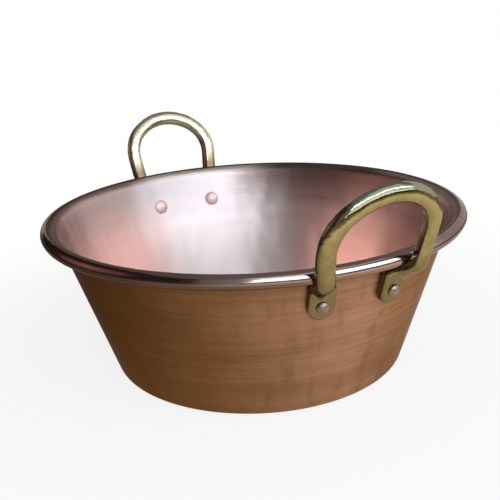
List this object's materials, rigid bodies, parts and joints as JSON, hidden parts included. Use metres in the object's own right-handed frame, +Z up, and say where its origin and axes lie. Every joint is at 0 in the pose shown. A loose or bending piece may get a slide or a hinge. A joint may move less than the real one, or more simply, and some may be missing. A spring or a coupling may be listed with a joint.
{
  "type": "jam pan",
  "caption": "Wide round preserving pan with a flared wall, a rolled rim and an arched cast handle riveted to each side.",
  "frame": {"origin": "centre of the base's underside, on the surface that the pan stands on", "axes": "+X towards the right handle, which also makes X the longest side; +Z up along the pan's axis of turning"},
  "size_m": [0.4162, 0.36, 0.1929],
  "materials": {
    "sheet_copper": "satin, brushed round the wall",
    "rim_steel": "plain drawn wire",
    "cast_brass": "satin faces with polished rounds",
    "rivet_copper": "dull hammered domes"
  },
  "bodies": {
    "root": {"pan_body": "sheet_copper", "rim_wire": "rim_steel", "handle_right": "cast_brass", "handle_left": "cast_brass", "rivet_right_front": "rivet_copper", "rivet_right_back": "rivet_copper", "rivet_left_front": "rivet_copper", "rivet_left_back": "rivet_copper"}
  },
  "joints": []
}
